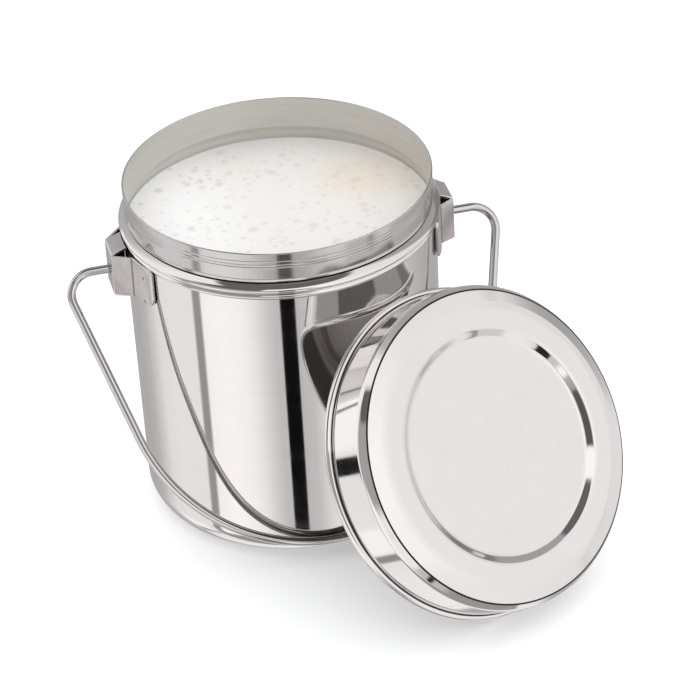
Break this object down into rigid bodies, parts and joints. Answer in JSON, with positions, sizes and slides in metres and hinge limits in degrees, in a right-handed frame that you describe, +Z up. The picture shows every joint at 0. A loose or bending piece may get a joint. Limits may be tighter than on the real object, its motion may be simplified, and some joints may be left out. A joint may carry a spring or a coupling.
{
  "type": "milk can",
  "caption": "Cylindrical polished steel milk can with a wire bail held in welded side lugs and a separate pressed lid leaning against it.",
  "frame": {"origin": "centre of the can's flat base, on the surface that the can stands on", "axes": "+Z up along the can's axis, +X along the bail's pivot line towards the right-hand lug, -Y to the front where the bail hangs and the lid leans"},
  "size_m": [0.183, 0.1859, 0.1293],
  "materials": {
    "can_steel": "mirror-polished stainless steel sheet",
    "lid_steel": "mirror-polished stainless steel sheet",
    "lug_steel": "satin stainless steel strip",
    "bail_steel": "bright drawn stainless steel wire"
  },
  "bodies": {
    "can": {"can_body": "can_steel", "lug_left": "lug_steel", "lug_right": "lug_steel"},
    "bail": {"bail": "bail_steel"},
    "lid": {"lid": "lid_steel"}
  },
  "joints": [
    {"name": "bail_swing", "type": "hinge", "parent": "can", "child": "bail", "pos_m": [0, 0, 0.1017], "axis": [-1, 0, 0], "range_deg": [0, 297.4]},
    {"name": "lid_tip_over", "type": "hinge", "parent": "can", "child": "lid", "pos_m": [0.07468, -0.12679, 0], "axis": [0.8616, 0.5075, 0], "range_deg": [0, 122.9]}
  ],
  "couplings": [
    {"joint": "lid_tip_over", "follows": "bail_swing", "ratio": 0.413}
  ]
}
